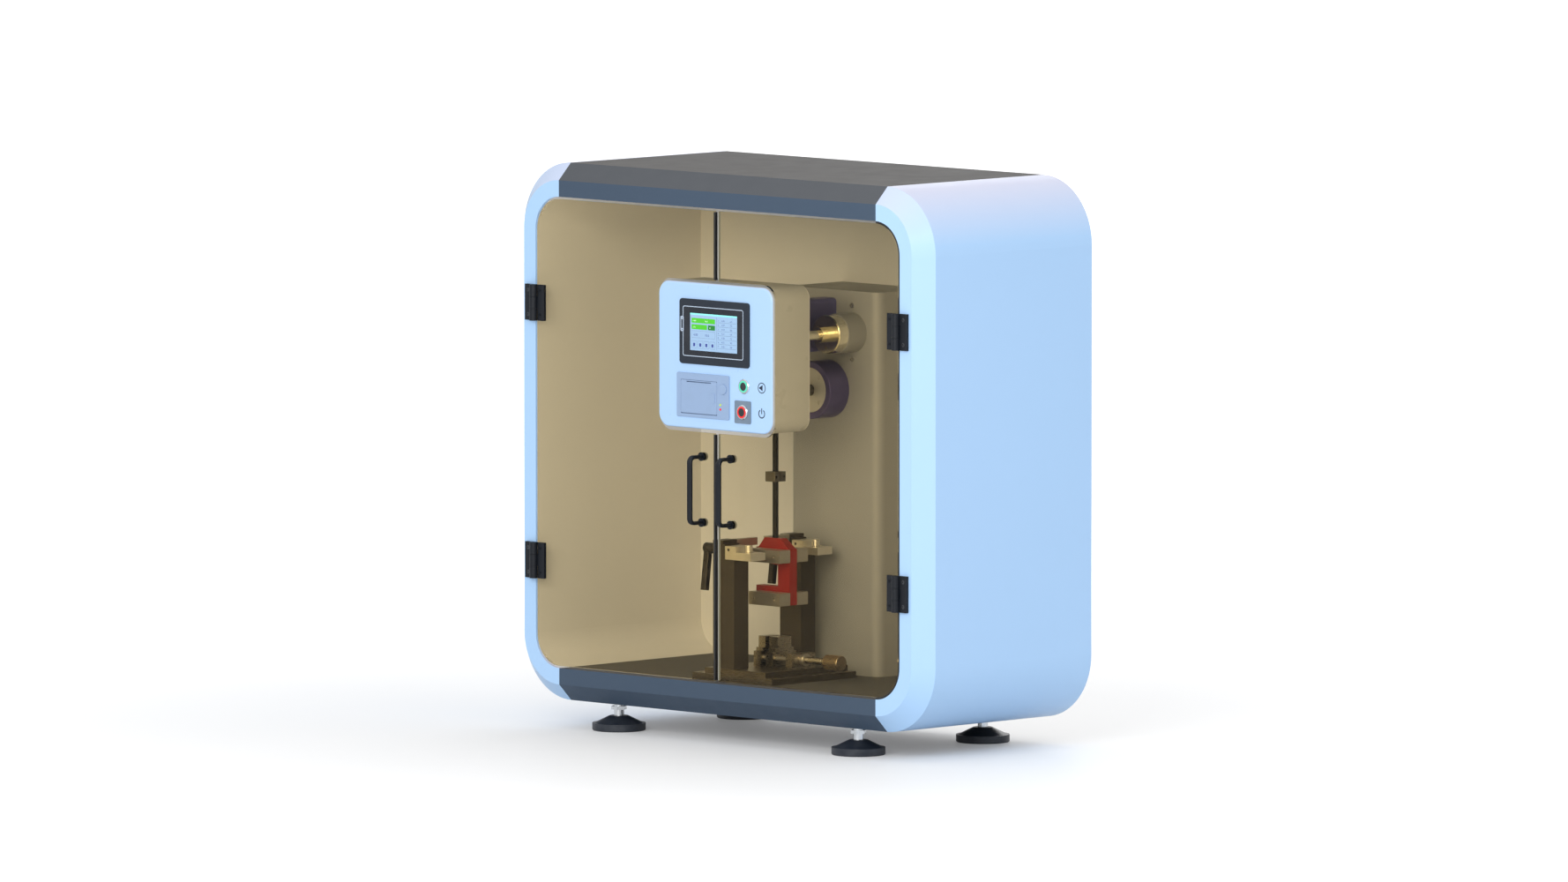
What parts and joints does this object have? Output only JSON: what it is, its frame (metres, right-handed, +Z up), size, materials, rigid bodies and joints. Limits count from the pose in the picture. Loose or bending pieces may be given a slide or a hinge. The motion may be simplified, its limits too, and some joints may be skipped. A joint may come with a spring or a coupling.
{
  "type": "pendulum impact tester",
  "caption": "Glass-fronted bench cabinet with a swinging pendulum hammer, a specimen vise and anvil columns, a touch control box with a strip printer, hinged doors and levelling feet.",
  "frame": {"origin": "on the floor under the middle of the bounding box", "axes": "+X to the right seen from the front, +Y to the back, +Z up; the doors face -Y"},
  "size_m": [1, 0.4422, 0.98],
  "materials": {
    "pale_paint": "satin pale blue-white powder coat",
    "slate_paint": "satin slate powder coat",
    "pillar_paint": "satin pale powder coat",
    "red_anodised": "satin red enamel",
    "black_metal": "satin black",
    "dark_steel": "blackened, brushed",
    "steel": "ground and brushed",
    "chrome": "polished",
    "aluminium": "machined",
    "bronze_glass": "bronze tinted, polished",
    "back_paint": "satin grey-white powder coat",
    "black_plastic": "fine texture",
    "foot_rubber": "matt moulded",
    "screen_glass": "gloss cover film",
    "paper": "matt paper",
    "led_lens": "clear coloured lens",
    "start_lamp": "translucent lens",
    "power_lamp": "translucent lens",
    "plate_plastic": "translucent grey"
  },
  "bodies": {
    "cabinet": {"left_shell": "pale_paint", "right_shell": "pale_paint", "top_bridge": "slate_paint", "bottom_bridge": "slate_paint", "back_panel": "back_paint", "power_inlet": "black_plastic", "foot_pads": "foot_rubber", "foot_studs": "chrome", "hinge_cabinet_leaves": "black_metal", "cabinet_screws": "steel", "control_box": "pale_paint", "control_cover": "slate_paint", "control_arm": "dark_steel", "hmi_bezel": "black_plastic", "hmi_screen": "screen_glass", "printer_frame": "black_plastic", "status_leds": "led_lens", "button_bezels": "chrome", "start_ring": "start_lamp", "power_ring": "power_lamp", "power_plate": "plate_plastic", "pillar_housing": "pillar_paint", "bearing_housing": "dark_steel", "bearing_cover": "aluminium", "catch_hub": "steel", "lower_plate": "pillar_paint", "upper_plate": "steel", "front_column": "dark_steel", "rear_column": "dark_steel", "support_arms": "steel", "locating_screws": "steel", "anvils": "steel", "fixed_jaw": "dark_steel", "end_plate": "dark_steel", "guide_rods": "steel"},
    "left_door": {"left_pane": "bronze_glass", "left_handle": "black_metal", "left_door_leaves": "black_metal"},
    "right_door": {"right_pane": "bronze_glass", "right_handle": "black_metal", "right_door_leaves": "black_metal"},
    "pendulum": {"pivot_shaft": "steel", "pendulum_rod": "steel", "rod_clamp": "dark_steel", "hammer_plate": "red_anodised", "hammer_cheeks": "steel", "cheek_bolts": "steel", "striker": "steel"},
    "plunger": {"release_plunger": "steel"},
    "front_lever": {"front_clamp_lever": "black_metal"},
    "rear_lever": {"rear_clamp_lever": "black_metal"},
    "sliding_jaw": {"moving_jaw": "dark_steel"},
    "vise_screw": {"lead_screw": "steel", "vise_knob": "black_metal"},
    "printer_lid": {"paper_door": "black_plastic"},
    "paper": {"paper_roll": "paper"},
    "feed_cap": {"feed_button": "black_plastic"},
    "start_cap": {"start_button": "black_plastic"},
    "power_cap": {"power_button": "black_plastic"}
  },
  "joints": [
    {"name": "left_door_hinge", "type": "hinge", "parent": "cabinet", "child": "left_door", "pos_m": [-0.4405, -0.1963, 0.513], "axis": [0, 0, -1], "range_deg": [0, 110]},
    {"name": "right_door_hinge", "type": "hinge", "parent": "cabinet", "child": "right_door", "pos_m": [0.4405, -0.1963, 0.513], "axis": [0, 0, 1], "range_deg": [0, 110]},
    {"name": "pendulum_swing", "type": "hinge", "parent": "cabinet", "child": "pendulum", "pos_m": [0, -0.0433, 0.597], "axis": [0, -1, 0], "range_deg": [-157, 157]},
    {"name": "release_plunger_slide", "type": "slide", "parent": "cabinet", "child": "plunger", "axis": [0, -1, 0], "range_m": [0, 0.022]},
    {"name": "front_lever_turn", "type": "hinge", "parent": "cabinet", "child": "front_lever", "pos_m": [-0.07, -0.1248, 0.3295], "axis": [1, 0, 0], "range_deg": [-20, 30]},
    {"name": "rear_lever_turn", "type": "hinge", "parent": "cabinet", "child": "rear_lever", "pos_m": [-0.07, 0.0382, 0.3295], "axis": [1, 0, 0], "range_deg": [-20, 30]},
    {"name": "jaw_slide", "type": "slide", "parent": "cabinet", "child": "sliding_jaw", "axis": [1, 0, 0], "range_m": [-0.008, 0.02]},
    {"name": "screw_turn", "type": "hinge", "parent": "sliding_jaw", "child": "vise_screw", "pos_m": [0.07, -0.0433, 0.1405], "axis": [1, 0, 0], "range_deg": [-724, 1810]},
    {"name": "printer_lid_hinge", "type": "hinge", "parent": "cabinet", "child": "printer_lid", "pos_m": [-0.037, -0.1925, 0.5694], "axis": [1, 0, 0], "range_deg": [0, 90]},
    {"name": "paper_roll_turn", "type": "hinge", "parent": "cabinet", "child": "paper", "pos_m": [-0.037, -0.1667, 0.5965], "axis": [1, 0, 0], "continuous": true},
    {"name": "feed_button_push", "type": "slide", "parent": "cabinet", "child": "feed_cap", "axis": [0, 1, 0], "range_m": [0, 0.0015], "stiffness_N_per_m": 400, "springref_m": -0.0005},
    {"name": "start_button_push", "type": "slide", "parent": "cabinet", "child": "start_cap", "axis": [0, 1, 0], "range_m": [0, 0.0025], "stiffness_N_per_m": 600, "springref_m": -0.001},
    {"name": "power_button_push", "type": "slide", "parent": "cabinet", "child": "power_cap", "axis": [0, 1, 0], "range_m": [0, 0.003], "stiffness_N_per_m": 600, "springref_m": -0.001}
  ],
  "couplings": [
    {"joint": "screw_turn", "follows": "jaw_slide", "rad_per_m": 1570.8}
  ]
}
